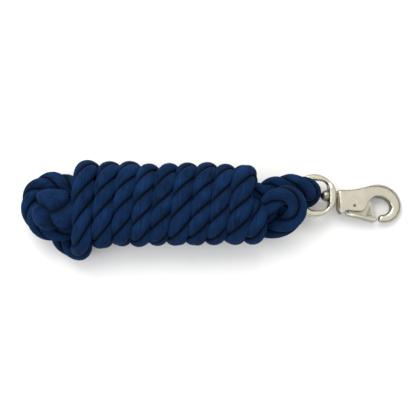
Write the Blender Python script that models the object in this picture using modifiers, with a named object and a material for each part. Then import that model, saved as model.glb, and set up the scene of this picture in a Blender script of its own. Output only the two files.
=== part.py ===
"""Lead rope: a three-strand cotton rope put up as a hank, tied to a swivel trigger snap.

The rope comes off the snap's eye, runs to the far end of the hank and back as two core
runs, winds round them towards the far end and passes up through the bight, where its
crowned end stops it.  Every solid is in metres, +Z up, with the hank resting on z = 0.
"""
import math

import bmesh
import bpy
from mathutils import Matrix, Vector

MM = 0.001

# --- rope -------------------------------------------------------------------------------
ROPE_D = 18.4 * MM             # across the packed rope, a little under its nominal 19 mm
GAP = 0.3 * MM                 # between faces that touch
CORE_Z = 28.9 * MM             # height of the two core runs
CORE_Y = (17.6 * MM, -5.4 * MM)
HANK_X = (-112.6 * MM, 43.1 * MM)
HANK_HALF_WIDTH = 42.0 * MM
ROUTE_STEP = 8.0 * MM          # distance between the points of a rope tube

# --- swivel eye, stud and trigger snap, all in the snap's own frame ------------------------
# u runs along the snap from the eye to the hook, v across it, w out of its flat face.
SNAP_ORIGIN = Vector((124.8, 15.6, 16.0)) * MM
SNAP_DROOP = math.radians(10.2)    # the eye sits up on the rope, the hook lies on the table
EYE_CENTRE_U = -22.3 * MM
EYE_RING_R = 18.4 * MM
EYE_WIRE_R = 3.5 * MM
EYE_BOSS_U = (-8.6 * MM, -0.6 * MM)
EYE_BOSS_HALF_V = 10.4 * MM
EYE_BOSS_HALF_W = 5.9 * MM
STUD_SHANK_R = 2.9 * MM
STUD_HEAD_R = 5.9 * MM
STUD_HEAD_TIP_U = -16.4 * MM
STUD_END_U = 6.6 * MM
BODY_HALF_W = 5.75 * MM
SLOT_HALF_W = 2.4 * MM
WEB_HALF_W = 2.0 * MM
PAD_HALF_W = 4.9 * MM
PIVOT = Vector((17.1, -9.8, 0.0)) * MM
RIVET_R = 2.1 * MM
SPRING_U = 25.5 * MM
SPRING_V = (-4.15 * MM, 4.1 * MM)
SPRING_MEAN_R = 1.5 * MM
SPRING_WIRE_R = 0.35 * MM
SPRING_TURNS = 5

NAVY = (0.012, 0.030, 0.085)
NICKEL = (0.66, 0.64, 0.57)
STEEL = (0.42, 0.40, 0.37)


# --- scene and small helpers ---------------------------------------------------------------
for old in list(bpy.data.objects):
    bpy.data.objects.remove(old, do_unlink=True)

parts = bpy.data.collections.new("lead_rope")
cutters = bpy.data.collections.new("cutters")
bpy.context.scene.collection.children.link(parts)
bpy.context.scene.collection.children.link(cutters)


def material(name, colour, roughness, metallic):
    """A plain Principled material."""
    mat = bpy.data.materials.new(name)
    mat.use_nodes = True
    shader = mat.node_tree.nodes["Principled BSDF"]
    shader.inputs["Base Color"].default_value = (*colour, 1.0)
    shader.inputs["Roughness"].default_value = roughness
    shader.inputs["Metallic"].default_value = metallic
    return mat


def add_part(name, data, colour, roughness, metallic, parent=None):
    """Put one named piece, with a material of its own, in the parts collection."""
    obj = bpy.data.objects.new(name, data)
    obj.data.materials.append(material(name, colour, roughness, metallic))
    obj.parent = parent
    parts.objects.link(obj)
    return obj


def add_cutter(name, data, parent=None):
    """Put a cutting or joining shape in the cutters collection, hidden from the render."""
    obj = bpy.data.objects.new(name, data)
    obj.parent = parent
    obj.hide_render = True
    obj.display_type = "WIRE"
    cutters.objects.link(obj)
    return obj


def boolean(target, tool, operation):
    """Add an exact Boolean modifier."""
    mod = target.modifiers.new(tool.name, "BOOLEAN")
    mod.operation = operation
    mod.solver = "EXACT"
    mod.object = tool


def mesh_from(bm, name):
    """Turn a bmesh into mesh data with its faces pointing out."""
    bmesh.ops.recalc_face_normals(bm, faces=bm.faces)
    mesh = bpy.data.meshes.new(name)
    bm.to_mesh(mesh)
    bm.free()
    mesh.shade_smooth()
    mesh.set_sharp_from_angle(angle=math.radians(35))
    return mesh


def plate(name, outline, half_w, bevel=0.0, segments=2):
    """A flat outline of (u, v) points in millimetres, extruded to both sides of w = 0."""
    bm = bmesh.new()
    verts = [bm.verts.new((u * MM, v * MM, -half_w)) for u, v in outline]
    face = bm.faces.new(verts)
    top = bmesh.ops.extrude_face_region(bm, geom=[face])["geom"]
    lifted = [item for item in top if isinstance(item, bmesh.types.BMVert)]
    bmesh.ops.translate(bm, verts=lifted, vec=(0.0, 0.0, 2.0 * half_w))
    if bevel:
        rims = [e for e in bm.edges if abs(e.verts[0].co.z - e.verts[1].co.z) < 1e-9]
        bmesh.ops.bevel(bm, geom=rims, offset=bevel, offset_type="OFFSET", segments=segments,
                        profile=0.5, affect="EDGES", material=-1)
    return mesh_from(bm, name)


def cylinder(name, radius, low, high, axis, segments=32, centre=Vector((0.0, 0.0, 0.0))):
    """A cylinder along U or W between two stations."""
    bm = bmesh.new()
    bmesh.ops.create_cone(bm, cap_ends=True, segments=segments, radius1=radius,
                          radius2=radius, depth=high - low)
    bmesh.ops.translate(bm, verts=bm.verts, vec=(0.0, 0.0, (low + high) / 2.0))
    if axis == "U":
        bmesh.ops.rotate(bm, verts=bm.verts, matrix=Matrix.Rotation(math.pi / 2, 3, "Y"))
    bmesh.ops.translate(bm, verts=bm.verts, vec=centre)
    return mesh_from(bm, name)


def smooth_route(points, step):
    """Points about one step apart on a Catmull-Rom curve through the given points."""
    knots = [Vector(p) for p in points]
    knots = [2 * knots[0] - knots[1]] + knots + [2 * knots[-1] - knots[-2]]
    fine = []
    for a, b, c, d in zip(knots, knots[1:], knots[2:], knots[3:]):
        for k in range(16):
            t = k / 16
            fine.append(0.5 * (2 * b + (c - a) * t + (2 * a - 5 * b + 4 * c - d) * t ** 2
                               + (3 * b - a - 3 * c + d) * t ** 3))
    fine.append(knots[-2])
    reach = [0.0]
    for a, b in zip(fine, fine[1:]):
        reach.append(reach[-1] + (b - a).length)
    count = max(2, round(reach[-1] / step))
    route, i = [], 0
    for k in range(count + 1):
        wanted = reach[-1] * k / count
        while i < len(reach) - 2 and reach[i + 1] < wanted:
            i += 1
        span = reach[i + 1] - reach[i]
        route.append(fine[i].lerp(fine[i + 1], (wanted - reach[i]) / span))
    return route


def tube(name, route, radius, resolution):
    """Curve data for a round tube with filled ends along the route."""
    curve = bpy.data.curves.new(name, "CURVE")
    curve.dimensions = "3D"
    curve.bevel_depth = radius
    curve.bevel_resolution = resolution
    curve.use_fill_caps = True
    spline = curve.splines.new("POLY")
    spline.points.add(len(route) - 1)
    for point, co in zip(spline.points, route):
        point.co = (*co, 1.0)
    return curve


def rope_tube(name, points_mm):
    """One stretch of rope through a list of points in millimetres."""
    route = smooth_route([Vector(p) * MM for p in points_mm], ROUTE_STEP)
    return add_part(name, tube(name, route, ROPE_D / 2, 4), NAVY, 0.95, 0.0)


# --- rope hank: eight turns packed side by side over the two core runs ---------------------
def rope_hank():
    """An extruded stadium with round ends and a flat underside."""
    length = HANK_X[1] - HANK_X[0]
    round_y = HANK_HALF_WIDTH - (CORE_Y[0] - CORE_Y[1]) / 2
    bm = bmesh.new()
    outline = []
    for side, core_y in ((1, CORE_Y[0]), (-1, CORE_Y[1])):
        for k in range(17):
            angle = side * math.pi / 2 - math.pi * k / 16
            y = core_y + side * round_y * abs(math.cos(angle))
            z = CORE_Z * (1 + math.sin(angle))
            outline.append(bm.verts.new((HANK_X[0], y, z)))
    face = bm.faces.new(outline)
    far = bmesh.ops.extrude_face_region(bm, geom=[face])["geom"]
    moved = [item for item in far if isinstance(item, bmesh.types.BMVert)]
    bmesh.ops.translate(bm, verts=moved, vec=(length, 0.0, 0.0))
    rims = [e for e in bm.edges if abs(e.verts[0].co.x - e.verts[1].co.x) < 1e-9]
    bmesh.ops.bevel(bm, geom=rims, offset=5.0 * MM, offset_type="OFFSET", segments=3,
                    profile=0.5, affect="EDGES", material=-1)
    return add_part("rope_hank", mesh_from(bm, "rope_hank"), NAVY, 0.95, 0.0)


# --- rope crown: the three strands of the end, interlocked and tucked back -----------------
def rope_crown():
    """A turned knob that sits over the bight, too wide to pull back through it."""
    profile_mm = [(0.0, 57.6), (7.0, 57.0), (12.5, 54.8), (17.0, 50.8), (19.8, 46.0),
                  (20.2, 42.5), (18.6, 39.6), (15.0, 37.6), (11.5, 36.4), (9.4, 34.2),
                  (9.0, 31.6), (0.0, 31.6)]
    bm = bmesh.new()
    verts = [bm.verts.new((r * MM, 0.0, z * MM)) for r, z in profile_mm]
    for a, b in zip(verts, verts[1:]):
        bm.edges.new((a, b))
    mesh = bpy.data.meshes.new("rope_crown")
    bm.to_mesh(mesh)
    bm.free()
    knob = add_part("rope_crown", mesh, NAVY, 0.95, 0.0)
    knob.location = Vector((-155.2, -0.6, 0.0)) * MM
    screw = knob.modifiers.new("turn", "SCREW")
    screw.steps = screw.render_steps = 32
    screw.use_merge_vertices = True
    screw.merge_threshold = 0.00001
    screw.use_smooth_shade = True
    return knob


# --- swivel eye: a cast ring whose near side is thickened into a drilled boss --------------
def swivel_eye(frame):
    """The ring joined to its boss, with the stud's hole through the boss."""
    bpy.ops.mesh.primitive_torus_add(major_radius=EYE_RING_R, minor_radius=EYE_WIRE_R,
                                     major_segments=56, minor_segments=16)
    made = bpy.context.object
    ring = add_part("swivel_eye", made.data, NICKEL, 0.35, 1.0, frame)
    bpy.data.objects.remove(made, do_unlink=True)
    ring.data.materials.clear()
    ring.data.materials.append(material("nickel_eye", NICKEL, 0.35, 1.0))
    ring.data.transform(Matrix.Translation((EYE_CENTRE_U, 0.0, 0.0)))

    near, far = EYE_BOSS_U[0] / MM, EYE_BOSS_U[1] / MM
    half = EYE_BOSS_HALF_V / MM
    outline = [(near, -half), (far - 2.6, -half - 0.8), (far, -half + 2.2), (far, half - 2.2),
               (far - 2.6, half + 0.8), (near, half)]
    boss = add_cutter("eye_boss", plate("eye_boss", outline, EYE_BOSS_HALF_W, 1.8 * MM, 3), frame)
    boolean(ring, boss, "UNION")
    hole = cylinder("stud_hole", STUD_SHANK_R + GAP, EYE_BOSS_U[0] - 2 * MM, 1 * MM, "U")
    boolean(ring, add_cutter("stud_hole", hole, frame), "DIFFERENCE")
    return ring


# --- swivel stud: domed head inside the ring, shank through the boss into the snap ---------
def swivel_stud(frame):
    """A turned pin, its profile run from the dome's tip to the shank's end."""
    seat = EYE_BOSS_U[0] - GAP
    crown = seat - STUD_HEAD_TIP_U
    profile = [(STUD_HEAD_R * math.sin(a), STUD_HEAD_TIP_U + (crown - 1.2 * MM) * (1 - math.cos(a)))
               for a in [math.pi / 2 * k / 8 for k in range(9)]]
    profile += [(STUD_HEAD_R, seat - 0.6 * MM), (STUD_HEAD_R - 0.6 * MM, seat),
                (STUD_SHANK_R, seat), (STUD_SHANK_R, STUD_END_U - 0.5 * MM),
                (STUD_SHANK_R - 0.5 * MM, STUD_END_U), (0.0, STUD_END_U)]
    bm = bmesh.new()
    verts = [bm.verts.new((u, r, 0.0)) for r, u in profile]
    edges = [bm.edges.new((a, b)) for a, b in zip(verts, verts[1:])]
    bmesh.ops.spin(bm, geom=verts + edges, axis=(1.0, 0.0, 0.0), cent=(0.0, 0.0, 0.0),
                   angle=2 * math.pi, steps=32, use_merge=True)
    bmesh.ops.remove_doubles(bm, verts=bm.verts, dist=0.00001)
    return add_part("swivel_stud", mesh_from(bm, "swivel_stud"), NICKEL, 0.3, 1.0, frame)


# --- snap hook: one casting, a slotted body that runs out into a round hook ----------------
BODY_OUTLINE = [(0.0, 4.0), (1.8, 5.9), (11.4, 6.1), (25.0, 8.3), (34.0, 10.4), (39.0, 9.0),
                (38.0, 0.0), (33.9, -4.4), (31.2, -7.2), (29.3, -11.0), (27.0, -14.4),
                (24.6, -15.6), (15.9, -15.4), (8.6, -14.6), (6.4, -16.8), (3.6, -18.2),
                (1.6, -16.9), (0.2, -14.0), (0.0, -11.0)]
# station on the hook's centre line (u, v), then its half width and half thickness
HOOK_STATIONS = [(27.0, 0.8, 6.8, 5.3), (35.0, 4.0, 7.3, 5.2), (44.0, 5.9, 7.0, 5.0),
                 (51.7, 4.7, 6.8, 4.9), (57.5, 0.8, 6.6, 4.8), (61.2, -4.9, 6.1, 4.7),
                 (61.8, -11.3, 5.7, 4.6), (59.0, -17.1, 5.1, 4.4), (54.4, -20.7, 4.6, 4.2),
                 (49.6, -22.0, 4.2, 4.1), (46.4, -22.1, 3.8, 3.9), (44.7, -22.1, 3.3, 3.4),
                 (43.6, -22.0, 2.5, 2.6), (43.0, -22.0, 1.4, 1.5)]
SLOT_OUTLINE = [(7.2, -30.0), (36.0, -30.0), (41.0, -8.0), (41.0, -4.0), (35.4, 3.0),
                (33.2, 4.0), (29.2, 2.8), (16.5, -3.8), (10.5, -4.4), (7.2, -8.5)]


def hook_bar():
    """The round hook, lofted through its stations with slightly squared sections."""
    path = smooth_route([Vector(s[:2]).to_3d() for s in HOOK_STATIONS[:11]], 2.6)
    sizes = [s[2:] for s in HOOK_STATIONS[:11]]
    stations = []
    for k, centre in enumerate(path):
        place = k / (len(path) - 1) * (len(sizes) - 1)
        i = min(int(place), len(sizes) - 2)
        share = place - i
        half_width = sizes[i][0] * (1 - share) + sizes[i + 1][0] * share
        half_thick = sizes[i][1] * (1 - share) + sizes[i + 1][1] * share
        stations.append((centre, half_width, half_thick))
    stations += [(Vector((u, v, 0.0)), a, b) for u, v, a, b in HOOK_STATIONS[11:]]
    bm = bmesh.new()
    rings = []
    for k, (centre, half_width, half_thick) in enumerate(stations):
        ahead = stations[min(k + 1, len(stations) - 1)][0]
        behind = stations[max(k - 1, 0)][0]
        along = (ahead - behind).normalized()
        across = Vector((-along.y, along.x, 0.0))
        ring = []
        for j in range(20):
            angle = 2 * math.pi * j / 20
            c, s = math.cos(angle), math.sin(angle)
            x = half_width * math.copysign(abs(c) ** 0.8, c)
            w = half_thick * math.copysign(abs(s) ** 0.8, s)
            ring.append(bm.verts.new((centre + across * x + Vector((0.0, 0.0, w))) * MM))
        rings.append(ring)
    for a, b in zip(rings, rings[1:]):
        for j in range(20):
            bm.faces.new((a[j], a[(j + 1) % 20], b[(j + 1) % 20], b[j]))
    bm.faces.new(rings[0])
    bm.faces.new(rings[-1])
    return mesh_from(bm, "hook_bar")


def snap_hook(frame):
    """Body and hook joined, then slotted for the gate and drilled for rivet, stud and spring."""
    body = add_part("snap_hook", plate("snap_hook", BODY_OUTLINE, BODY_HALF_W, 1.5 * MM, 3),
                    NICKEL, 0.38, 1.0, frame)
    boolean(body, add_cutter("hook_bar", hook_bar(), frame), "UNION")
    boolean(body, add_cutter("gate_slot", plate("gate_slot", SLOT_OUTLINE, SLOT_HALF_W), frame),
            "DIFFERENCE")
    hole = cylinder("rivet_hole", RIVET_R + GAP, -9 * MM, 9 * MM, "W", centre=PIVOT)
    boolean(body, add_cutter("rivet_hole", hole, frame), "DIFFERENCE")
    bore = cylinder("stud_bore", STUD_SHANK_R + GAP, -2 * MM, STUD_END_U + GAP, "U")
    boolean(body, add_cutter("stud_bore", bore, frame), "DIFFERENCE")
    pocket_r = SPRING_MEAN_R + SPRING_WIRE_R + GAP
    pocket = cylinder("spring_pocket", pocket_r, -4 * MM, 4.4 * MM, "W", 24)
    pocket.transform(Matrix.Translation((SPRING_U, 0.0, 0.0))
                     @ Matrix.Rotation(-math.pi / 2, 4, "X"))
    boolean(body, add_cutter("spring_pocket", pocket, frame), "DIFFERENCE")
    return body


# --- gate lever: a web riding in the slot, with a wide thumb pad along its lower edge ------
WEB_OUTLINE = [(33.0, -4.6), (34.6, -4.4), (36.4, -5.0), (41.1, -21.4), (40.2, -23.4),
               (39.0, -25.2), (37.6, -26.3), (34.5, -25.2), (27.3, -23.4), (15.9, -21.0),
               (12.8, -20.2), (12.2, -17.0), (11.9, -11.5), (12.7, -7.4), (15.2, -5.3),
               (18.5, -4.8)]
PAD_OUTLINE = [(26.6, -20.5), (40.7, -22.0), (40.1, -23.4), (38.9, -25.2), (37.5, -26.3),
               (34.5, -25.2), (26.6, -23.2)]


def about_pivot(outline):
    """An outline moved so that the gate's pivot is its origin."""
    return [(u - PIVOT.x / MM, v - PIVOT.y / MM) for u, v in outline]


def gate_lever(pivot):
    """Web and pad joined, drilled for the rivet; the origin is on the pivot's axis."""
    web = plate("gate_lever", about_pivot(WEB_OUTLINE), WEB_HALF_W, 0.5 * MM, 2)
    lever = add_part("gate_lever", web, NICKEL, 0.36, 1.0, pivot)
    pad = plate("thumb_pad", about_pivot(PAD_OUTLINE), PAD_HALF_W, 0.8 * MM, 2)
    boolean(lever, add_cutter("thumb_pad", pad, pivot), "UNION")
    hole = cylinder("gate_hole", RIVET_R + GAP, -6 * MM, 6 * MM, "W")
    boolean(lever, add_cutter("gate_hole", hole, pivot), "DIFFERENCE")
    return lever


def gate_rivet(pivot):
    """A plain rivet with slightly domed, flush ends."""
    dome = 0.35 * MM
    profile = [(0.0, BODY_HALF_W + dome), (RIVET_R * 0.6, BODY_HALF_W + dome * 0.6),
               (RIVET_R, BODY_HALF_W - dome)]
    profile += [(r, -w) for r, w in reversed(profile)]
    bm = bmesh.new()
    verts = [bm.verts.new((r, 0.0, w)) for r, w in profile]
    edges = [bm.edges.new((a, b)) for a, b in zip(verts, verts[1:])]
    bmesh.ops.spin(bm, geom=verts + edges, axis=(0.0, 0.0, 1.0), cent=(0.0, 0.0, 0.0),
                   angle=2 * math.pi, steps=24, use_merge=True)
    bmesh.ops.remove_doubles(bm, verts=bm.verts, dist=0.00001)
    return add_part("gate_rivet", mesh_from(bm, "gate_rivet"), STEEL, 0.45, 1.0, pivot)


def gate_spring(frame):
    """A coil spring in its pocket, pushing down on the web's upper edge."""
    per_turn = 12
    low, high = SPRING_V[0] + SPRING_WIRE_R, SPRING_V[1] - SPRING_WIRE_R
    count = SPRING_TURNS * per_turn
    route = []
    for k in range(count + 1):
        angle = 2 * math.pi * k / per_turn
        v = low + (high - low) * k / count
        route.append(Vector((SPRING_U + SPRING_MEAN_R * math.cos(angle), v,
                             SPRING_MEAN_R * math.sin(angle))))
    return add_part("gate_spring", tube("gate_spring", route, SPRING_WIRE_R, 2),
                    STEEL, 0.4, 1.0, frame)


# --- rope routes, in millimetres: the centre line of each stretch that isn't wound ---------
EYE_TURN_ROUTE = [
    (43.9, 18.4, 28.9), (52.1, 18.4, 28.8), (57.6, 21.4, 28.6), (63.1, 24.0, 29.2),
    (70.6, 25.0, 31.6), (80.6, 24.8, 36.2), (89.6, 23.2, 36.0), (96.0, 20.8, 31.8),
    (98.8, 18.6, 25.5), (98.8, 16.8, 20.0), (97.2, 14.6, 14.4), (92.6, 11.6, 10.8),
    (86.1, 8.0, 9.6), (79.6, 5.3, 9.6), (73.1, 2.8, 9.6)]
HITCH_ROUTE = [
    (72.6, 2.6, 9.6), (64.6, -0.5, 9.6), (58.4, -2.6, 13.0), (55.0, -3.0, 20.4),
    (54.4, -1.8, 30.5), (56.2, 2.6, 41.0), (62.1, 9.2, 49.4), (72.1, 10.9, 52.0),
    (80.6, 5.2, 50.0), (83.2, -4.2, 44.0), (79.4, -13.0, 35.5), (71.1, -18.8, 26.5),
    (62.1, -20.8, 18.5), (54.6, -21.5, 12.0)]
BIGHT_ROUTE = [
    (-113.1, 17.6, 28.9), (-121.4, 17.6, 28.9), (-128.4, 20.6, 28.9), (-135.9, 25.2, 28.9),
    (-144.7, 28.4, 28.0), (-156.8, 28.7, 26.5), (-169.0, 25.5, 24.5), (-177.7, 17.8, 22.8),
    (-180.4, 6.9, 22.0), (-177.7, -5.3, 23.0), (-169.6, -16.2, 26.0), (-157.6, -21.8, 28.6),
    (-145.6, -21.1, 28.9), (-135.9, -15.5, 28.9), (-127.9, -8.8, 28.9),
    (-121.4, -5.4, 28.9), (-113.1, -5.4, 28.9)]
LAST_TURN_ROUTE = [
    (-122.2, -11.0, 9.5), (-122.2, 7.0, 9.5), (-122.2, 23.0, 9.6), (-122.2, 35.0, 16.0),
    (-122.4, 39.0, 28.9), (-123.2, 34.5, 42.0), (-124.0, 23.0, 48.2), (-124.4, 5.0, 48.4),
    (-124.4, -11.0, 48.0), (-124.6, -25.0, 44.5), (-125.6, -34.5, 36.0), (-128.0, -38.5, 26.0),
    (-132.2, -39.0, 16.5), (-139.8, -36.5, 10.2), (-148.2, -29.5, 9.5), (-153.8, -20.0, 9.5),
    (-156.0, -10.5, 10.6), (-156.0, -3.0, 15.5), (-155.3, -0.7, 23.0), (-155.2, -0.6, 27.5),
    (-155.2, -0.6, 31.2)]


# --- assembly ------------------------------------------------------------------------------
snap_frame = bpy.data.objects.new("snap_frame", None)
snap_frame.location = SNAP_ORIGIN
snap_frame.rotation_euler = (0.0, SNAP_DROOP, 0.0)
parts.objects.link(snap_frame)
gate_pivot = bpy.data.objects.new("gate_pivot", None)
gate_pivot.location = PIVOT
gate_pivot.parent = snap_frame
parts.objects.link(gate_pivot)

rope_hank()
rope_tube("rope_bight", BIGHT_ROUTE)
rope_tube("rope_last_turn", LAST_TURN_ROUTE)
rope_crown()
rope_tube("rope_eye_turn", EYE_TURN_ROUTE)
rope_tube("rope_hitch", HITCH_ROUTE)
swivel_eye(snap_frame)
swivel_stud(snap_frame)
snap_hook(snap_frame)
gate_lever(gate_pivot)
gate_rivet(gate_pivot)
gate_spring(snap_frame)
bpy.context.view_layer.update()
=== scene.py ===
"""A lead rope for a horse: three-strand cotton rope put up as a hank, tied to a trigger snap.

The hank lies on a table with its snap to the right.  Lengths are in metres unless a name
ends in _MM, and the sections follow the rope from the snap's eye to its crowned end, then
the pieces of the snap from the eye outwards.
"""

import math

import bmesh
import bpy
import numpy as np
from mathutils import Matrix, Vector


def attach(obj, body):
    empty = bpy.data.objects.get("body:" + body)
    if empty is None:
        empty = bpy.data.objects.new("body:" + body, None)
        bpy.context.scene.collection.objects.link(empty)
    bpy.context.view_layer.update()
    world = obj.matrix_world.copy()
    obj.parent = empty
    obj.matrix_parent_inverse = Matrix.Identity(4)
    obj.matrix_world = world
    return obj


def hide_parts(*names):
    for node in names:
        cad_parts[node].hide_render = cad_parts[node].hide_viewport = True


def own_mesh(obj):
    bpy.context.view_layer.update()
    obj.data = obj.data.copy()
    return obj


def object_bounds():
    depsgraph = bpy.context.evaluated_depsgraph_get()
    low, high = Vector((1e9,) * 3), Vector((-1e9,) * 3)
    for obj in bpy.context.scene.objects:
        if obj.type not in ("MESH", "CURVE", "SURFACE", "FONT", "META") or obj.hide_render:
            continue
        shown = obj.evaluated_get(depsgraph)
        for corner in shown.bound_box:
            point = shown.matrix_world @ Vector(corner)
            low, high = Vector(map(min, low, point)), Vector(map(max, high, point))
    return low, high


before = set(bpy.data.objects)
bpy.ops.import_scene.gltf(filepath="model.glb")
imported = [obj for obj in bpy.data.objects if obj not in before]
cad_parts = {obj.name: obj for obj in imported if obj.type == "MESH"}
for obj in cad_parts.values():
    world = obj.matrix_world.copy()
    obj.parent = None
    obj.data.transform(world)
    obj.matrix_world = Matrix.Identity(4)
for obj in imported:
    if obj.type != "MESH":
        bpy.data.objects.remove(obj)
cad_low, cad_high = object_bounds()
scene = bpy.context.scene
MM = 0.001


# --- table, light and camera ----------------------------------------------------------------------
# A pale laminate table top under a large softbox, with a weaker fill from the left and a pale
# room all round.  The camera looks down on the table, a little from the near side.
def linear(hex_colour):
    """An sRGB hex colour as linear RGBA."""
    values = [int(hex_colour[i:i + 2], 16) / 255 for i in (1, 3, 5)]
    return (*[v / 12.92 if v <= 0.04045 else ((v + 0.055) / 1.055) ** 2.4 for v in values], 1.0)


def add_node(tree, kind, settings=None, **inputs):
    """Add a node, set its properties, and give its inputs a value or a socket to read.

    An input's name is written with underscores for spaces, or as _0, _1 for its number.
    """
    node = tree.nodes.new(kind)
    for key, value in (settings or {}).items():
        setattr(node, key, value)
    for key, value in inputs.items():
        name = key.replace("_", " ").strip()
        slot = node.inputs[int(name) if name.isdigit() else name]
        if isinstance(value, bpy.types.NodeSocket):
            tree.links.new(value, slot)
        else:
            slot.default_value = value
    return node


def new_material(name):
    """A material with an empty Principled shader, and its tree and shader."""
    made = bpy.data.materials.new(name)
    made.use_nodes = True
    return made, made.node_tree, made.node_tree.nodes["Principled BSDF"]


def blend_colours(tree, share, low, high):
    """A colour that runs from low to high as share, a socket, runs from 0 to 1."""
    mix = add_node(tree, "ShaderNodeMix", {"data_type": "RGBA"}, Factor=share)
    for slot, colour in ((mix.inputs[6], low), (mix.inputs[7], high)):
        if isinstance(colour, bpy.types.NodeSocket):
            tree.links.new(colour, slot)
        else:
            slot.default_value = colour
    return mix.outputs[2]


table_laminate, tree, shader = new_material("white_laminate")
shader.inputs["Base Color"].default_value = linear("#F4F4F3")
shader.inputs["Roughness"].default_value = 0.7

bm = bmesh.new()
bmesh.ops.create_grid(bm, x_segments=1, y_segments=1, size=3.0)
bmesh.ops.translate(bm, verts=bm.verts, vec=(0.0, 0.0, cad_low.z - 0.0002))
table_mesh = bpy.data.meshes.new("table_top")
bm.to_mesh(table_mesh)
bm.free()
table_top = bpy.data.objects.new("table_top", table_mesh)
table_top.data.materials.append(table_laminate)
scene.collection.objects.link(table_top)


def softbox(name, place, aim, size, watts, hex_colour):
    """A square area light that points at aim."""
    lamp = bpy.data.lights.new(name, "AREA")
    lamp.shape = "SQUARE"
    lamp.size = size
    lamp.energy = watts
    lamp.color = linear(hex_colour)[:3]
    lamp_object = bpy.data.objects.new(name, lamp)
    lamp_object.location = place
    lamp_object.rotation_euler = (Vector(aim) - Vector(place)).to_track_quat("-Z", "Y").to_euler()
    scene.collection.objects.link(lamp_object)


softbox("key_softbox", (-0.25, 0.85, 1.15), (0.0, 0.0, 0.02), 1.2, 15.0, "#FFFDF8")
softbox("fill_softbox", (-1.0, -0.5, 0.9), (0.0, 0.0, 0.02), 0.8, 5.0, "#F6F9FF")

room = bpy.data.worlds.new("pale_room")
room.use_nodes = True
scene.world = room
tree = room.node_tree
background = tree.nodes["Background"]
direction = add_node(tree, "ShaderNodeTexCoord").outputs["Generated"]
height = add_node(tree, "ShaderNodeSeparateXYZ", _0=direction).outputs["Z"]
share = add_node(tree, "ShaderNodeMapRange", _0=height, From_Min=0.22, From_Max=0.6).outputs[0]
tree.links.new(blend_colours(tree, share, linear("#45464A"), linear("#FFFFFF")),
               background.inputs["Color"])
background.inputs["Strength"].default_value = 1.05

CAMERA_AIM = Vector((-3.8, 3.0, 20.0)) * MM
CAMERA_DISTANCE = 1.0
CAMERA_TILT = math.radians(8.0)       # from straight down
camera_data = bpy.data.cameras.new("camera")
camera_data.lens = 86.8
camera_data.sensor_width = 36.0
camera_data.clip_start = 0.01
camera = bpy.data.objects.new("camera", camera_data)
camera.location = CAMERA_AIM + CAMERA_DISTANCE * Vector(
    (0.0, -math.sin(CAMERA_TILT), math.cos(CAMERA_TILT)))
camera.rotation_euler = (CAMERA_TILT, 0.0, 0.0)
scene.collection.objects.link(camera)
scene.camera = camera
scene.view_settings.view_transform = "Standard"


# --- rope -----------------------------------------------------------------------------------------
# Three fat strands of soft spun cotton, dyed navy and laid right-handed into one limp rope.
# It leaves the snap's eye as a turn and a hitch, makes two core runs, winds back over them, and
# ends in the crown.
ROPE_D = 20.0 * MM
LAY = 61.0 * MM                   # one whole twist of the rope, about three diameters
HITCH_LAY = 88.0 * MM             # the same, where the hitch draws the strands out
STRAND_TURN = 2 * math.pi / 3     # from one strand to the next
STATION = 2.3 * MM                # between the rope's cross-sections
HIDDEN_STATION = 7.0 * MM         # the same, inside the hank

EYE_TURN_MM = [
    (43.9, 17.0, 28.9), (52.1, 17.2, 28.8), (57.6, 21.4, 28.6), (63.1, 24.0, 29.2),
    (70.6, 25.0, 31.6), (80.6, 24.8, 36.2), (89.6, 23.2, 36.0), (96.0, 20.8, 31.8),
    (98.8, 18.6, 25.5), (98.8, 16.8, 20.0), (97.2, 14.6, 14.4), (92.6, 11.6, 10.8),
    (86.1, 8.0, 9.6), (79.6, 5.3, 9.6), (73.1, 2.8, 9.6)]
HITCH_MM = [
    (64.6, -0.5, 9.6), (58.4, -2.6, 13.0), (55.0, -3.0, 20.4),
    (54.4, -1.8, 30.5), (56.2, 2.6, 41.0), (62.1, 9.2, 49.4), (72.1, 10.9, 52.0),
    (80.6, 5.2, 50.0), (82.8, -3.6, 44.0), (78.6, -11.2, 35.5), (70.6, -15.8, 26.5),
    (62.1, -17.4, 18.5), (55.4, -17.6, 12.0)]
BIGHT_MM = [
    (-113.1, 17.6, 28.9), (-121.4, 17.6, 28.9), (-128.4, 17.2, 28.9), (-135.9, 20.2, 28.9),
    (-144.7, 25.4, 28.0), (-156.8, 28.7, 26.5), (-169.0, 25.5, 24.5), (-177.7, 17.8, 22.8),
    (-180.4, 6.9, 22.0), (-177.7, -5.3, 23.0), (-169.6, -16.2, 26.0), (-157.6, -21.8, 28.6),
    (-145.6, -21.1, 28.9), (-135.9, -15.5, 28.9), (-127.9, -8.8, 28.9),
    (-121.4, -5.4, 28.9), (-113.1, -5.4, 28.9)]
LAST_TURN_MM = [
    (-126.0, -25.0, 44.5), (-126.8, -34.5, 36.0), (-128.6, -38.5, 26.0),
    (-132.2, -39.0, 16.5), (-139.8, -36.5, 10.2), (-148.2, -29.5, 9.5), (-153.8, -20.0, 9.5),
    (-156.0, -10.5, 10.6), (-156.0, -3.0, 15.5), (-155.3, -0.7, 23.0), (-155.2, -0.6, 27.5),
    (-155.2, -0.6, 31.2)]
CORE_Y_MM = (17.6, -5.4)
CORE_Z_MM = 28.9
FIRST_TURN_MM = [(30.0, -5.4, 28.9), (37.5, -3.0, 31.0), (43.0, 0.5, 35.5), (45.2, -3.0, 41.0),
                 (44.6, -12.0, 43.5), (43.0, -20.5, 40.0)]
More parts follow.
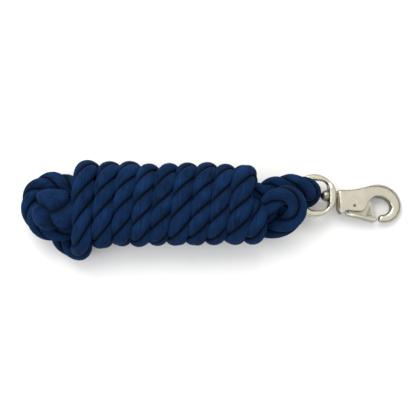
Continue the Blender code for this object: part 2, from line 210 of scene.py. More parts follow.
# where each turn crosses the hank's near side, far side and front, from the snap's end
NEAR_X_MM = (41.3, 22.1, 3.0, -16.0, -34.5, -53.4, -70.7, -89.3, -108.1)
NEAR_Y_MM = (-25.3, -25.3, -26.1, -26.8, -27.0, -26.4, -27.6, -27.5, -29.8)
FAR_X_MM = (33.2, 14.1, -3.8, -22.9, -42.2, -62.0, -80.3, -100.1, -122.0)
FAR_Y_MM = (35.4, 36.1, 37.7, 37.7, 37.2, 36.8, 39.0, 38.9, 39.3)
LAST_NEAR_MM = (-124.6, -38.0)    # near side (x, y) of the last turn
FRONT_X_MM = (28.6, 8.3, -9.8, -28.8, -47.8, -66.5, -85.6, -105.0, -126.0)
FRONT_Z_MM, BACK_Z_MM = 48.4, 9.6
HANK_Y_MM = 6.1                   # the hank's middle, across it
TURNS = 9
LOWEST_MM = 10.3                  # the middle of the rope where it lies on the table
# how far below the middle of each turn's front a seam between two strands lies
SEAM_MM = (4.0, 13.7, 9.3, 6.9, 0.1, -4.8, 4.0, 7.9, 12.0)


def turn_points(k):
    """The route of one turn, from the near side under the hank to the far side and the front."""
    last = k == TURNS - 1
    near_next = LAST_NEAR_MM if last else (NEAR_X_MM[k + 1], NEAR_Y_MM[k + 1])
    middle_z = (FRONT_Z_MM + BACK_Z_MM) / 2
    half_z = (FRONT_Z_MM - BACK_Z_MM) / 2
    stops_x = (NEAR_X_MM[k], (NEAR_X_MM[k] + FAR_X_MM[k]) / 2, FAR_X_MM[k], FRONT_X_MM[k],
               near_next[0])
    points = []
    for step in range(12 if last else 16):
        angle = math.pi * (step / 8 - 1)
        x = float(np.interp(step / 4, range(5), stops_x))
        c, s = math.cos(angle), math.sin(angle)
        low, high = (NEAR_Y_MM[k] if step < 8 else near_next[1]), FAR_Y_MM[k]
        middle_y = HANK_Y_MM + ((low + high) / 2 - HANK_Y_MM) * abs(c)
        half_y = (high - low) / 2
        points.append((x, middle_y + half_y * math.copysign(abs(c) ** 0.8, c),
                       middle_z + half_z * math.copysign(abs(s) ** 0.7, s)))
    return points


def smooth_line(points_mm):
    """Closely spaced points, in metres, on a centripetal curve through the route's points."""
    knots = [Vector(p) * MM for p in points_mm]
    knots = [2 * knots[0] - knots[1]] + knots + [2 * knots[-1] - knots[-2]]
    line = []
    for a, b, c, d in zip(knots, knots[1:], knots[2:], knots[3:]):
        t = [0.0]
        for p, q in ((a, b), (b, c), (c, d)):
            t.append(t[-1] + max((q - p).length, 1e-6) ** 0.5)
        count = max(4, round((c - b).length / (0.8 * MM)))
        for k in range(count):
            u = t[1] + (t[2] - t[1]) * k / count
            ab = a.lerp(b, (u - t[0]) / (t[1] - t[0]))
            bc = b.lerp(c, (u - t[1]) / (t[2] - t[1]))
            cd = c.lerp(d, (u - t[2]) / (t[3] - t[2]))
            abc = ab.lerp(bc, (u - t[0]) / (t[2] - t[0]))
            bcd = bc.lerp(cd, (u - t[1]) / (t[3] - t[1]))
            line.append(abc.lerp(bcd, (u - t[1]) / (t[2] - t[1])))
    line.append(knots[-2])
    return np.array(line)


def distance_along(line):
    """How far along the line each of its points is."""
    return np.concatenate([[0.0], np.cumsum(np.linalg.norm(np.diff(line, axis=0), axis=1))])


def stations_on(line, places):
    """Points on the line at those distances along it."""
    reach = distance_along(line)
    return np.stack([np.interp(places, reach, line[:, i]) for i in range(3)], axis=1)


def place_of(line, point_mm, after=0.0):
    """How far along the line the point nearest to point_mm is, past a given distance."""
    reach = distance_along(line)
    far = np.linalg.norm(line - np.array(point_mm) * MM, axis=1) + (reach < after) * 9.0
    return float(reach[int(far.argmin())])


def carried_frames(line):
    """Tangents, and normals that turn as little as they can from one station to the next."""
    tangents = np.gradient(line, axis=0)
    tangents /= np.linalg.norm(tangents, axis=1)[:, None]
    normal = np.cross(tangents[0], (0.0, 0.0, 1.0))
    normals = []
    for tangent in tangents:
        normal = normal - tangent * (normal @ tangent)
        normal = normal / np.linalg.norm(normal)
        normals.append(normal)
    normals = np.array(normals)
    return tangents, normals, np.cross(tangents, normals)


STRAND_CENTRE = 0.27              # how far a strand's middle is from the rope's
STRAND_ARC = (0.17, 0.33)         # middle and radius of the strand's outer face
STRAND_CORNER = 6.0               # how sharply the outer face turns into the sides


def strand_outline(around):
    """One strand's outline in the rope's section, in rope diameters, pressed by its neighbours.

    Its outer face is round, and its two sides are flat against the other strands.
    """
    outer_x, outer_r = STRAND_ARC
    to_middle = STRAND_CENTRE - outer_x
    outline = []
    for a in around:
        dx, dy = math.cos(a), math.sin(a)
        b = to_middle * dx
        to_arc = -b + math.sqrt(b * b - to_middle ** 2 + outer_r ** 2)
        reach = to_arc ** -STRAND_CORNER
        for side in (1, -1):
            lean = -math.sin(math.pi / 3) * dx + math.cos(math.pi / 3) * dy * side
            if lean > 1e-6:
                to_side = STRAND_CENTRE * math.sin(math.pi / 3) / lean
                reach += to_side ** -STRAND_CORNER
        distance = reach ** (-1 / STRAND_CORNER)
        outline.append((STRAND_CENTRE + distance * dx, distance * dy))
    return np.array(outline)


# closely spaced round the outer face, and few on the sides that the other strands hide
VISIBLE_SIDE = [math.radians(-128 + 256 * k / 19) for k in range(20)]
STRAND_SIDES = VISIBLE_SIDE + [math.radians(a) for a in (148, 172, 196, 220)]

route_mm = list(reversed(HITCH_MM)) + list(reversed(EYE_TURN_MM))
route_mm += [(x, CORE_Y_MM[0], CORE_Z_MM) for x in (30, 10, -15, -40, -65, -90)]
route_mm += BIGHT_MM
route_mm += [(x, CORE_Y_MM[1], CORE_Z_MM) for x in (-90, -65, -40, -15, 10)]
route_mm += FIRST_TURN_MM
for k in range(TURNS):
    route_mm += turn_points(k)
route_mm += LAST_TURN_MM
route_mm = [(x, y, max(z, LOWEST_MM)) for x, y, z in route_mm]
rope_line = smooth_line(route_mm)
rope_length = float(distance_along(rope_line)[-1])

core_from = place_of(rope_line, (38.0, CORE_Y_MM[0], CORE_Z_MM))
bight_from = place_of(rope_line, BIGHT_MM[0])
bight_to = place_of(rope_line, BIGHT_MM[-1], bight_from + 0.1)
core_to = place_of(rope_line, (26.0, CORE_Y_MM[1], CORE_Z_MM), bight_to)
places = []
for low, high, step in ((0.0, core_from, STATION), (core_from, bight_from, HIDDEN_STATION),
                        (bight_from, bight_to, STATION), (bight_to, core_to, HIDDEN_STATION),
                        (core_to, rope_length, STATION)):
    places += list(np.linspace(low, high, max(2, round((high - low) / step)), endpoint=False))
places = np.array(places + [rope_length])
middles = stations_on(rope_line, places)
tangents, normals, binormals = carried_frames(middles)


# The lay is even but for small slips, which set where the seams show on each turn's front.
# In the hitch the strands are drawn out, with one seam along the top of its bend.
def facing(at, direction):
    """The twist at which a strand faces that way, at that place along the rope."""
    i = int(np.searchsorted(places, at))
    return math.atan2(binormals[i] @ direction, normals[i] @ direction)


def hold_twist(at, wanted):
    """Hold the twist at a place to an angle, or to the strand's turn from it nearest the lay."""
    nominal = angles[-1] + 2 * math.pi * (at - marks[-1]) / LAY
    marks.append(at)
    angles.append(wanted + STRAND_TURN * round((nominal - wanted) / STRAND_TURN))


UP, UP_AND_NEAR = np.array((0.0, 0.0, 1.0)), np.array((0.0, -1.0, 1.0))
hitch_top = place_of(rope_line, (82.0, 1.0, 47.5))
hitch_end = place_of(rope_line, (56.2, 2.6, 41.0))
seam_up = facing(hitch_top, UP) + STRAND_TURN / 2
marks = [0.0, hitch_end]
angles = [seam_up + 2 * math.pi * (at - hitch_top) / HITCH_LAY for at in marks]
turn_fronts = [place_of(rope_line, (x, HANK_Y_MM, FRONT_Z_MM), core_to) for x in FRONT_X_MM]
for at, seam_mm in zip(turn_fronts, SEAM_MM):
    hold_twist(at, facing(at, UP) + STRAND_TURN / 2 - 2 * math.pi * seam_mm * MM / LAY)
near_side = place_of(rope_line, LAST_TURN_MM[1], core_to)
hold_twist(near_side, facing(near_side, UP_AND_NEAR))    # one whole strand wraps this side
marks.append(rope_length)
angles.append(angles[-1] + 2 * math.pi * (rope_length - near_side) / LAY)
twist = np.interp(places, marks, angles)


# Each turn is pressed wide by its tightness and bears on its neighbours all along its sides,
# and its strands are dragged round to lie flatter across it.
TURN_SPREAD, TURN_FLATTEN, TURN_DRAG = 0.10, 0.05, 0.25
PRESS_OVER = 0.03                 # how soon the first turn is pressed
RELEASE_FROM, RELEASE_TO = 0.18, 0.12     # from the rope's end, where the last turn comes free
first_turn_at = place_of(rope_line, FIRST_TURN_MM[3], core_to)
pressed = np.interp(places, (first_turn_at, first_turn_at + PRESS_OVER,
                             rope_length - RELEASE_FROM, rope_length - RELEASE_TO),
                    (0.0, 1.0, 1.0, 0.0))
across = np.array((1.0, 0.0, 0.0)) - tangents * tangents[:, :1]     # towards the next turn
across /= np.maximum(np.linalg.norm(across, axis=1), 1e-6)[:, None]
outward = np.cross(tangents, across)


def pressed_out(i, offset):
    """An offset from the rope's middle at station i, as the pressing of the turns leaves it."""
    sideways = float(offset @ across[i])
    return (offset + pressed[i] * (TURN_SPREAD * sideways * across[i]
                                   - TURN_FLATTEN * float(offset @ outward[i]) * outward[i]
                                   + TURN_DRAG * sideways * tangents[i]))


YARN_MAP_R = 0.42 * ROPE_D        # radius that turns angles round the rope into lengths


def add_strand(bm, twist, diameters, outline, uv, depth):
    """Loft one strand through the stations, with a UV map in metres along and round the rope."""
    rings = []
    for i in range(len(middles)):
        c, s = math.cos(twist[i]), math.sin(twist[i])
        out = pressed_out(i, normals[i] * c + binormals[i] * s)
        side = pressed_out(i, binormals[i] * c - normals[i] * s)
        ring = [bm.verts.new(middles[i] + diameters[i] * (x * out + y * side)) for x, y in outline]
        rings.append(ring)
    turn = [math.atan2(y, x) for x, y in outline]
    reach = [math.hypot(x, y) for x, y in outline]
    count = len(outline)
    for i in range(len(rings) - 1):
        for j in range(count):
            k = (j + 1) % count
            face = bm.faces.new((rings[i][j], rings[i][k], rings[i + 1][k], rings[i + 1][j]))
            face.smooth = True
            corners = ((i, j), (i, k), (i + 1, k), (i + 1, j))
            for loop, (station, corner) in zip(face.loops, corners):
                round_rope = (twist[station] + turn[corner]) * YARN_MAP_R
                loop[uv].uv = (places[station], round_rope)
                # reach from the rope's middle, which the material turns into painted shade towards
                # the seams
                loop.vert[depth] = reach[corner] * 2
    bm.faces.new(list(reversed(rings[0])))
    bm.faces.new(rings[-1])


bm = bmesh.new()
uv = bm.loops.layers.uv.new("lay")
depth = bm.verts.layers.float.new("reach")
outline = strand_outline(STRAND_SIDES)
bight_start = place_of(rope_line, BIGHT_MM[3], bight_from)
core_start = place_of(rope_line, (46.0, 17.0, 28.9))
# the yarn is a little uneven, and the rope swells where it has room: on both end turns and
# beside the hank
widths = ROPE_D * (1 + 0.012 * np.sin(places / 0.047) + 0.01 * np.sin(places / 0.019 + 1.0))
for swell_at, swell, spread in ((turn_fronts[0], 0.11, 0.055), (turn_fronts[-1], 0.11, 0.055),
                                (bight_start, 0.15, 0.016), (core_start, 0.08, 0.012)):
    widths *= 1 + swell * np.exp(-((places - swell_at) / spread) ** 2)
for strand in range(3):
    add_strand(bm, twist + strand * STRAND_TURN, widths, outline, uv, depth)
rope_mesh = bpy.data.meshes.new("cotton_rope")
bm.to_mesh(rope_mesh)
bm.free()
cotton_rope = bpy.data.objects.new("cotton_rope", rope_mesh)
scene.collection.objects.link(cotton_rope)

# Soft-spun dyed cotton yarn: fully matt, with a pale haze of loose fibre at grazing angles,
# and yarns about 1.7 mm apart that run nearly along the rope.  Its colour is darkened with
# painted shade towards the seams between the strands and in the crown's creases.
YARN = 1.7 * MM
cotton, tree, shader = new_material("dyed_cotton_yarn")
lay_map = add_node(tree, "ShaderNodeUVMap", {"uv_map": "lay"}).outputs[0]
yarn_grid = add_node(tree, "ShaderNodeMapping", Vector=lay_map,
                     Scale=(1 / (9 * YARN), 1 / YARN, 1.0), Rotation=(0.0, 0.0, 0.10)).outputs[0]
yarns = add_node(tree, "ShaderNodeTexNoise", Vector=yarn_grid, Scale=1.0, Detail=4.0,
                 Roughness=0.6).outputs["Fac"]
fibre_grid = add_node(tree, "ShaderNodeMapping", Vector=lay_map,
                      Scale=(1 / (3.0 * MM), 1 / (0.45 * MM), 1.0),
                      Rotation=(0.0, 0.0, -0.2)).outputs[0]
fibres = add_node(tree, "ShaderNodeTexNoise", Vector=fibre_grid, Scale=1.0, Detail=3.0,
                  Roughness=0.7).outputs["Fac"]
position = add_node(tree, "ShaderNodeTexCoord").outputs["Object"]
patches = add_node(tree, "ShaderNodeTexNoise", Vector=position, Scale=70.0,
                   Detail=2.0).outputs["Fac"]
tone = add_node(tree, "ShaderNodeMath", {"operation": "MULTIPLY"}, _0=patches, _1=0.35).outputs[0]
for grain, share in ((fibres, 0.4), (yarns, 0.5)):
    tone = add_node(tree, "ShaderNodeMath", {"operation": "MULTIPLY_ADD"}, _0=grain, _1=share,
                    _2=tone).outputs[0]
tone = add_node(tree, "ShaderNodeMapRange", _0=tone, From_Min=0.45, From_Max=0.78).outputs[0]
yarn_colour = blend_colours(tree, tone, linear("#020C1E"), linear("#0C2D57"))
# painted shade along the seams: the colour darkens to the dark seam colour as the reach from the
# rope's middle falls
reach = add_node(tree, "ShaderNodeAttribute", {"attribute_name": "reach"}).outputs["Fac"]
seam_shade = add_node(tree, "ShaderNodeMapRange", {"interpolation_type": "SMOOTHSTEP"}, _0=reach,
                From_Min=0.66, From_Max=0.99).outputs[0]
tree.links.new(blend_colours(tree, seam_shade, linear("#01070F"), yarn_colour),
               shader.inputs["Base Color"])
relief = add_node(tree, "ShaderNodeMath", {"operation": "MULTIPLY_ADD"}, _0=fibres, _1=0.35,
                  _2=yarns).outputs[0]
bump = add_node(tree, "ShaderNodeBump", Height=relief, Strength=0.75, Distance=0.0009)
tree.links.new(bump.outputs[0], shader.inputs["Normal"])
shader.inputs["Roughness"].default_value = 0.95
shader.inputs["Specular IOR Level"].default_value = 0.12
shader.inputs["Sheen Weight"].default_value = 0.16
shader.inputs["Sheen Roughness"].default_value = 0.55
shader.inputs["Sheen Tint"].default_value = linear("#2A5FA8")
rope_mesh.materials.append(cotton)
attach(cotton_rope, "rope")
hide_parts("rope_hank", "rope_bight", "rope_last_turn", "rope_eye_turn",
            "rope_hitch", "rope_crown")


# --- crown ----------------------------------------------------------------------------------------
# The rope's end: its three strands, opened out and softer there, are laid one over the next
# and pulled down into a round knob that sits over the bight.
CROWN_MM = (-153.6, -1.6, 43.4)
CROWN_HALF_MM = (21.4, 20.8, 13.8)
CROWN_SQUARENESS = 2.6
CROWN_POLE = Vector((-0.15, -0.27, 0.95)).normalized()     # where the three strands meet
CROWN_ARMS = (132.0, 8.0, -98.0)   # degrees round the pole of the creases between the strands
CROWN_CURL = 17.0                  # degrees that a crease turns for each radian from the pole
COLLAR = 1.75                      # radians from the pole to the crease where the knob tucks under
COLLAR_SHARE = 0.8                 # its depth against the others'
CREASE_DEPTH_MM, CREASE_WIDTH_MM, CREASE_SHARPNESS = 6.8, 9.0, 1.7
CREASE_SHADE = 0.26                # how far a crease goes towards a seam's dark
KNOB_R_MM, YARN_R_MM = 20.0, 12.0  # radii that turn angles into lengths, for creases and yarns


def signed(angle):
    """The same angle between minus and plus half a turn."""
    return math.atan2(math.sin(angle), math.cos(angle))


bm = bmesh.new()
bmesh.ops.create_icosphere(bm, subdivisions=6, radius=1.0)
uv = bm.loops.layers.uv.new("lay")
depth = bm.verts.layers.float.new("reach")
pole_x = (Vector((1.0, 0.0, 0.0)) - CROWN_POLE * CROWN_POLE.x).normalized()
pole_y = CROWN_POLE.cross(pole_x)
round_pole = {}
for vert in bm.verts:
    aim = vert.co.normalized()
    from_pole = math.acos(max(-1.0, min(1.0, aim.dot(CROWN_POLE))))
    round_it = math.atan2(aim.dot(pole_y), aim.dot(pole_x))
    round_pole[vert] = (round_it, from_pole)
    creases = [(abs(from_pole - COLLAR) * KNOB_R_MM, COLLAR_SHARE)]
    for arm in CROWN_ARMS:
        off = signed(round_it - math.radians(arm + CROWN_CURL * from_pole))
        if abs(off) < math.pi / 2:
            creases.append((math.sin(min(from_pole, 1.9)) * abs(math.sin(off)) * KNOB_R_MM, 1.0))
    crease = max(share * max(0.0, 1.0 - distance / CREASE_WIDTH_MM) ** CREASE_SHARPNESS
                 for distance, share in creases)
    square = sum(abs(a) ** CROWN_SQUARENESS for a in aim) ** (-1 / CROWN_SQUARENESS)
    place = Vector([CROWN_MM[i] + CROWN_HALF_MM[i] * square * aim[i] for i in range(3)])
    vert.co = (place - CREASE_DEPTH_MM * crease * aim) * MM
    # painted shade in the creases: a lower reach, which the material darkens as at a seam
    vert[depth] = 1.0 - CREASE_SHADE * crease
for face in bm.faces:
    face.smooth = True
    first = round_pole[face.verts[0]][0]
    for loop in face.loops:
        round_it, from_pole = round_pole[loop.vert]
        loop[uv].uv = ((first + signed(round_it - first)) * YARN_R_MM * MM,
                       from_pole * KNOB_R_MM * MM)
crown_mesh = bpy.data.meshes.new("crown")
bm.to_mesh(crown_mesh)
bm.free()
crown_mesh.materials.append(cotton)
crown = bpy.data.objects.new("crown", crown_mesh)
scene.collection.objects.link(crown)
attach(crown, "rope")
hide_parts("rope_crown")


# --- swivel eye -----------------------------------------------------------------------------------
# A zinc casting, barrel-polished and plated a warm satin nickel: a round ring with a D-shaped
# opening, thickened on its straight side into the boss that the stud turns in.
SNAP_ORIGIN_MM = Vector((124.8, 15.6, 16.0))
SNAP_TURN = Matrix.Rotation(math.radians(10.2), 3, "Y")   # the hook lies lower than the eye
SHARP_FROM = math.radians(38.0)                           # edges that turn by more stay sharp


def plated_metal(name, low, high, shaded, roughness):
    """A metal, plated or bare, with painted shade on its sides, where a vertex attribute is low."""
    plated, tree, shader = new_material(name)
    position = add_node(tree, "ShaderNodeTexCoord").outputs["Object"]
    clouds = add_node(tree, "ShaderNodeTexNoise", Vector=position, Scale=160.0, Detail=4.0,
                      Roughness=0.6).outputs["Fac"]
    # painted shade: the shaded colour where the attribute is low, the plated colour where it is
    # high
    face = add_node(tree, "ShaderNodeAttribute", {"attribute_name": "lit_share"}).outputs["Fac"]
    bright = blend_colours(tree, clouds, linear(low), linear(high))
    tree.links.new(blend_colours(tree, face, linear(shaded), bright), shader.inputs["Base Color"])
    orange_peel = add_node(tree, "ShaderNodeTexNoise", Vector=position, Scale=420.0, Detail=3.0)
    bump = add_node(tree, "ShaderNodeBump", Height=orange_peel.outputs["Fac"], Strength=0.10,
                    Distance=0.0004)
    tree.links.new(bump.outputs[0], shader.inputs["Normal"])
    wear = add_node(tree, "ShaderNodeMapRange", _0=clouds, From_Min=0.3, From_Max=0.7,
                    To_Min=roughness - 0.06, To_Max=roughness + 0.08).outputs[0]
    tree.links.new(wear, shader.inputs["Roughness"])
    shader.inputs["Metallic"].default_value = 1.0
    return plated


def in_snap(u, v, w):
    """A place given in the snap's own frame, in millimetres, as a place in the scene."""
    return (SNAP_ORIGIN_MM + SNAP_TURN @ Vector((u, v, w))) * MM


def finish_casting(bm, name, material, body, replaced):
    """Turn the faces outward, keep sharp edges sharp, and put the piece on its body."""
    bmesh.ops.recalc_face_normals(bm, faces=bm.faces)
    for face in bm.faces:
        face.smooth = True
    mesh = bpy.data.meshes.new(name)
    bm.to_mesh(mesh)
    bm.free()
    mesh.set_sharp_from_angle(angle=SHARP_FROM)
    mesh.materials.append(material)
    piece = bpy.data.objects.new(name, mesh)
    scene.collection.objects.link(piece)
    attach(piece, body)
    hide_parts(replaced)
    return piece


def add_casting(name, rings, closed, material, body, replaced):
    """Loft a casting through rings of (u, v, w, lit share), as a loop or with capped ends; a low
    lit share is painted shade.
    """
    bm = bmesh.new()
    lit_share = bm.verts.layers.float.new("lit_share")
    lofted = []
    for ring in rings:
        verts = []
        for u, v, w, lit in ring:
            verts.append(bm.verts.new(in_snap(u, v, w)))
            verts[-1][lit_share] = lit
        lofted.append(verts)
    count = len(lofted[0])
    following = lofted[1:] + lofted[:1] if closed else lofted[1:]
    for a, b in zip(lofted, following):
        for j in range(count):
            k = (j + 1) % count
            bm.faces.new((a[j], a[k], b[k], b[j]))
    if not closed:
        bm.faces.new(lofted[0])
        bm.faces.new(lofted[-1])
    return finish_casting(bm, name, material, body, replaced)


EYE_CENTRE_U_MM = -22.3
EYE_OUTER_MM, EYE_END_MM = 21.8, 21.4         # the ring's outside, and where the boss ends it
EYE_INNER_MM, EYE_FLAT_MM = 14.9, 13.6        # the opening's round side and its straight side
WIRE_HALF_MM, BOSS_EXTRA_MM = 3.5, 2.1        # half thickness of the ring, and more in the boss
BOSS_FROM, BOSS_OVER = 0.74, 0.16             # where it swells, by the cosine of the angle round
RING_SQUARE, BOSS_SQUARE = 0.80, 0.48         # of their sections: 1 is an oval, 0 is a square
EYE_STEPS, WIRE_SIDES = 96, 28
nickel = plated_metal("satin_nickel_plate", "#BFB9A7", "#D5D0BF", "#6B665E", 0.27)
rings = []
for k in range(EYE_STEPS):
    angle = 2 * math.pi * k / EYE_STEPS
    c, s = math.cos(angle), math.sin(angle)
    # the opening is square-cornered towards the boss and round on the side the rope bears on
    power = 4.0 if c > 0 else 2.0 + 2.0 * max(0.0, 1.0 + 3.0 * c)
    flat = EYE_FLAT_MM + (EYE_INNER_MM - EYE_FLAT_MM) * min(1.0, max(0.0, -3.0 * c))
    inner = ((abs(c) / flat) ** power + (abs(s) / EYE_INNER_MM) ** power) ** (-1 / power)
    outer = min(EYE_OUTER_MM, EYE_END_MM / max(c, 0.2))
    in_boss = max(0.0, min(1.0, (c - BOSS_FROM) / BOSS_OVER))
    in_boss *= in_boss * (3 - 2 * in_boss)
    half = WIRE_HALF_MM + BOSS_EXTRA_MM * in_boss
    square = RING_SQUARE + (BOSS_SQUARE - RING_SQUARE) * in_boss
    ring = []
    for j in range(WIRE_SIDES):
        turn = 2 * math.pi * j / WIRE_SIDES
        x, w = math.cos(turn), math.sin(turn)
        r = (inner + outer) / 2 + (outer - inner) / 2 * math.copysign(abs(x) ** square, x)
        # the lit share: painted light on the flat faces and the outer side, painted shade on the
        # opening's inner wall
        ring.append((EYE_CENTRE_U_MM + r * c, r * s, half * math.copysign(abs(w) ** square, w),
                     min(1.0, 0.25 + 1.1 * abs(w) + (0.3 if x > 0 else 0.0))))
    rings.append(ring)
add_casting("eye", rings, True, nickel, "rope", "swivel_eye")


# --- snap -----------------------------------------------------------------------------------------
# One nickel-plated zinc casting, a slotted body that runs out into a round hook; the gate's web
# works in the slot, which opens along the lower edge.
# Each rib: its outer end and its inner end (u, v), half thickness, slot depth, then how far the
# rounding reaches along the rib and across it, at the outer end and at the inner end.
SNAP_RIBS_MM = [
    (0.0, 3.6, 0.3, -13.5, 3.4, 0.02, 1.5, 1.5, 1.0, 1.0),
    (1.3, 5.6, 3.4, -17.6, 5.5, 0.02, 2.5, 2.6, 1.2, 1.2),
    (3.0, 6.1, 5.0, -17.8, 5.75, 0.02, 2.8, 2.8, 1.2, 1.2),
    (7.0, 6.2, 7.4, -16.1, 5.75, 0.02, 2.8, 2.8, 1.2, 1.2),
    (7.4, 6.2, 7.8, -15.8, 5.75, 7.4, 2.8, 2.8, 1.2, 1.2),
    (10.5, 6.2, 10.5, -14.8, 5.75, 10.4, 2.8, 2.8, 1.2, 1.2),
    (16.0, 6.7, 16.0, -15.3, 5.75, 11.5, 2.8, 2.8, 1.2, 1.2),
    (21.0, 7.6, 21.0, -15.6, 5.75, 14.4, 2.8, 2.8, 1.2, 1.2),
    (24.6, 8.4, 25.0, -15.4, 5.75, 16.2, 2.8, 2.8, 1.2, 1.2),
    (27.6, 9.2, 27.4, -13.8, 5.75, 15.8, 2.8, 2.8, 1.3, 1.3),
    (30.6, 10.1, 29.3, -11.0, 5.7, 13.8, 3.0, 2.9, 1.4, 1.4),
    (33.8, 11.1, 31.1, -7.4, 5.6, 10.8, 3.4, 3.1, 1.6, 1.6),
    (37.6, 12.1, 33.9, -4.0, 5.5, 7.0, 4.2, 3.6, 2.0, 2.0),
    (42.6, 12.9, 38.2, -1.2, 5.3, 0.02, 5.4, 4.3, 2.8, 2.6),
    (47.8, 12.7, 43.4, -0.6, 5.1, 0.02, 6.2, 4.6, 3.4, 3.0),
    (54.6, 10.9, 48.8, -1.5, 5.0, 0.02, 6.2, 4.6, 3.6, 3.2),
    (62.4, 5.4, 52.6, -3.8, 4.9, 0.02, 6.2, 4.5, 3.6, 3.2),
    (67.1, -3.0, 55.3, -6.8, 4.8, 0.02, 5.8, 4.4, 3.4, 3.1),
    (67.5, -12.3, 56.1, -10.4, 4.7, 0.02, 5.4, 4.3, 3.2, 3.0),
    (63.2, -20.3, 54.9, -13.9, 4.5, 0.02, 5.0, 4.1, 3.2, 3.0),
    (56.8, -24.9, 52.1, -16.6, 4.3, 0.02, 4.6, 3.9, 3.2, 3.0),
    (50.4, -26.2, 48.8, -17.8, 4.1, 0.02, 4.1, 3.7, 3.4, 3.2),
    (46.2, -25.9, 46.3, -18.2, 3.9, 0.02, 3.7, 3.4, 3.4, 3.2),
    (44.4, -25.0, 44.6, -19.2, 3.1, 0.02, 2.8, 2.6, 2.7, 2.6),
    (43.4, -23.2, 43.5, -20.9, 1.2, 0.02, 1.1, 0.9, 1.1, 0.9)]
SLOT_HALF_MM = 2.4
RIB_STEPS = 6                     # sections lofted from one rib to the next
CORNER_STEPS = 6
QUARTER = [(math.cos(math.pi / 2 * k / CORNER_STEPS), math.sin(math.pi / 2 * k / CORNER_STEPS))
           for k in range(CORNER_STEPS + 1)]
LIP_MM = 0.002                    # keeps the rounding's first point clear of the slot's lip


def casting_rings(ribs):
    """Sections from the first rib to the last, smoothly between, slotted along the inner edge."""
    ribs = np.array(ribs)
    rings = []
    for i in range(len(ribs) - 1):
        a, b, c, d = ribs[max(i - 1, 0)], ribs[i], ribs[i + 1], ribs[min(i + 2, len(ribs) - 1)]
        for step in range(RIB_STEPS + (i == len(ribs) - 2)):
            t = step / RIB_STEPS
            rib = 0.5 * (2 * b + (c - a) * t + (2 * a - 5 * b + 4 * c - d) * t * t
                         + (3 * b - a - 3 * c + d) * t ** 3)
            rib[4:] = b[4:] * (1 - t) + c[4:] * t
            rings.append(rib_section(*rib))
    return rings


def rib_section(out_u, out_v, in_u, in_v, half, slot, outer_d, outer_w, inner_d, inner_w):
    """One section as (u, v, w, lit share) points, from the slot's bottom round to itself; the slot
    and the sides get painted shade.
    """
    inner, outer = Vector((in_u, in_v)), Vector((out_u, out_v))
    length = (outer - inner).length
    along = (outer - inner) / length
    gap = min(SLOT_HALF_MM, half - inner_w)
    points = [(slot, gap, 0.0), (slot / 2, gap, 0.0), (0.0, gap, 0.1)]
    for c, s in QUARTER:
        points.append((inner_d * (1 - c), half - inner_w + inner_w * s + LIP_MM, 0.1 + 0.9 * s))
    for c, s in QUARTER:
        points.append((length - outer_d + outer_d * s, half - outer_w + outer_w * c,
                       0.45 + 0.55 * c))
    points.append((length, 0.0, 0.4))
    points += [(d, -w, lit) for d, w, lit in reversed(points[:-1])]
    return [(*(inner + along * d), w, lit) for d, w, lit in points]


add_casting("snap", casting_rings(SNAP_RIBS_MM), False, nickel, "snap", "snap_hook")


# --- gate -----------------------------------------------------------------------------------------
# A zinc casting in the same plate: a flat web with a sunk panel that works in the slot, and a
# thumb pad as wide as the body along its lower edge.
WEB_HALF_MM, WEB_SINK_MM = 2.1, 0.9
WEB_MM = [(33.0, -4.6), (34.6, -4.4), (36.0, -5.0), (40.6, -21.4), (39.6, -23.2), (37.0, -24.2),
          (27.3, -22.4), (15.9, -20.0), (12.8, -19.4), (12.2, -17.0), (11.9, -11.5),
          (12.7, -7.4), (15.2, -5.3), (18.5, -4.8)]
PANEL_MM = [(33.6, -8.6), (34.9, -8.6), (38.4, -20.2), (29.4, -19.0)]
PANEL_FLOOR_MM = [(33.9, -11.4), (34.6, -11.4), (36.6, -19.0), (31.4, -18.4)]
PIVOT_MM, PIVOT_R_MM, PIVOT_SIDES = (17.1, -9.8), 2.4, 24
PAD_RIBS_MM = [
    (9.6, -18.6, 9.6, -16.6, 1.9, 0.02, 0.6, 0.6, 0.6, 0.6),
    (13.0, -19.9, 13.0, -17.2, 2.3, 0.02, 0.7, 0.7, 0.7, 0.7),
    (15.0, -20.4, 15.0, -17.6, 3.5, 0.02, 0.7, 0.7, 0.7, 0.7),
    (20.0, -21.1, 20.0, -18.6, 4.5, 0.02, 0.8, 0.8, 0.7, 0.7),
    (26.0, -22.4, 26.0, -19.9, 4.9, 0.02, 0.9, 0.9, 0.7, 0.7),
    (33.0, -24.3, 33.0, -20.8, 4.9, 0.02, 1.0, 1.0, 0.7, 0.7),
    (38.0, -25.7, 38.0, -21.3, 4.9, 0.02, 1.2, 1.2, 0.8, 0.8),
    (40.3, -25.1, 40.3, -21.7, 4.6, 0.02, 1.2, 1.2, 0.8, 0.8),
    (41.2, -23.9, 41.2, -22.3, 3.7, 0.02, 0.6, 0.6, 0.6, 0.6)]
gate_nickel = plated_metal("satin_nickel_gate", "#BDB7A6", "#D3CDBC", "#6E6A62", 0.33)
hole = [(PIVOT_MM[0] + PIVOT_R_MM * math.cos(2 * math.pi * k / PIVOT_SIDES),
         PIVOT_MM[1] + PIVOT_R_MM * math.sin(2 * math.pi * k / PIVOT_SIDES))
        for k in range(PIVOT_SIDES)]
bm = bmesh.new()
lit_share = bm.verts.layers.float.new("lit_share")
sides = []
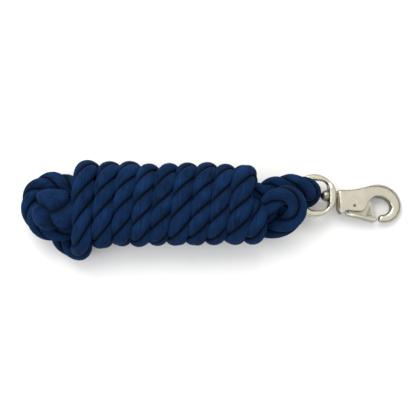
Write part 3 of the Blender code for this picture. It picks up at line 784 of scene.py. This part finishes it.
for sign in (1, -1):
    loops = []
    # painted light on the web's faces and the panel's rim, painted shade in the pivot hole and on
    # the sunk panel's floor
    for outline, w, lit in ((WEB_MM, WEB_HALF_MM, 0.8), (hole, WEB_HALF_MM, 0.4),
                              (PANEL_MM, WEB_HALF_MM, 0.9),
                              (PANEL_FLOOR_MM, WEB_HALF_MM - WEB_SINK_MM, 0.55)):
        loops.append([bm.verts.new(in_snap(u, v, sign * w)) for u, v in outline])
        for vert in loops[-1]:
            vert[lit_share] = lit
    edges = [bm.edges.new((loop[j], loop[(j + 1) % len(loop)]))
             for loop in loops[:3] for j in range(len(loop))]
    bmesh.ops.triangle_fill(bm, edges=edges, use_beauty=True)
    for j in range(4):
        bm.faces.new((loops[2][j], loops[2][(j + 1) % 4], loops[3][(j + 1) % 4], loops[3][j]))
    bm.faces.new(loops[3])
    sides.append(loops)
for upper, lower in zip(sides[0][:2], sides[1][:2]):
    for j in range(len(upper)):
        k = (j + 1) % len(upper)
        bm.faces.new((upper[j], upper[k], lower[k], lower[j]))
finish_casting(bm, "gate_web", gate_nickel, "gate", "gate_lever")
add_casting("gate_pad", casting_rings(PAD_RIBS_MM), False, gate_nickel, "gate", "gate_lever")


# --- stud and rivet -------------------------------------------------------------------------------
# A turned steel stud and a peened steel rivet, plain nickel-washed and darker than the castings.
for material_name, low, high, roughness, name in (
        ("nickel_washed_steel", "#8E8A80", "#B5B0A4", 0.30, "swivel_stud"),
        ("peened_rivet_steel", "#7A6A58", "#A3937F", 0.42, "gate_rivet")):
    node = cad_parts[name]
    node.data.materials.clear()
    node.data.materials.append(plated_metal(material_name, low, high, low, roughness))


# --- spring ---------------------------------------------------------------------------------------
# Bare drawn wire, coiled on a mandrel and dropped into its pocket above the gate's web, which
# squeezes it almost solid as the gate opens.
SPRING_U_MM, SPRING_FROM_MM, SPRING_TO_MM = 25.5, -3.8, 3.75
SPRING_R_MM, WIRE_R_MM = 1.5, 0.35
SPRING_TURNS, STEPS_PER_TURN, SPRING_WIRE_SIDES = 5, 14, 8
spring_wire = plated_metal("drawn_spring_steel", "#6F7072", "#8D8E90", "#6F7072", 0.35)
rings = []
for k in range(SPRING_TURNS * STEPS_PER_TURN + 1):
    angle = 2 * math.pi * k / STEPS_PER_TURN
    rise = k / (SPRING_TURNS * STEPS_PER_TURN)
    ring = []
    for j in range(SPRING_WIRE_SIDES):
        turn = 2 * math.pi * j / SPRING_WIRE_SIDES
        r = SPRING_R_MM + WIRE_R_MM * math.cos(turn)
        v = SPRING_FROM_MM + (SPRING_TO_MM - SPRING_FROM_MM) * rise + WIRE_R_MM * math.sin(turn)
        ring.append((SPRING_U_MM + r * math.cos(angle), v, r * math.sin(angle), 1.0))
    rings.append(ring)
spring = add_casting("spring", rings, False, spring_wire, "snap", "gate_spring")
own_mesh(spring)
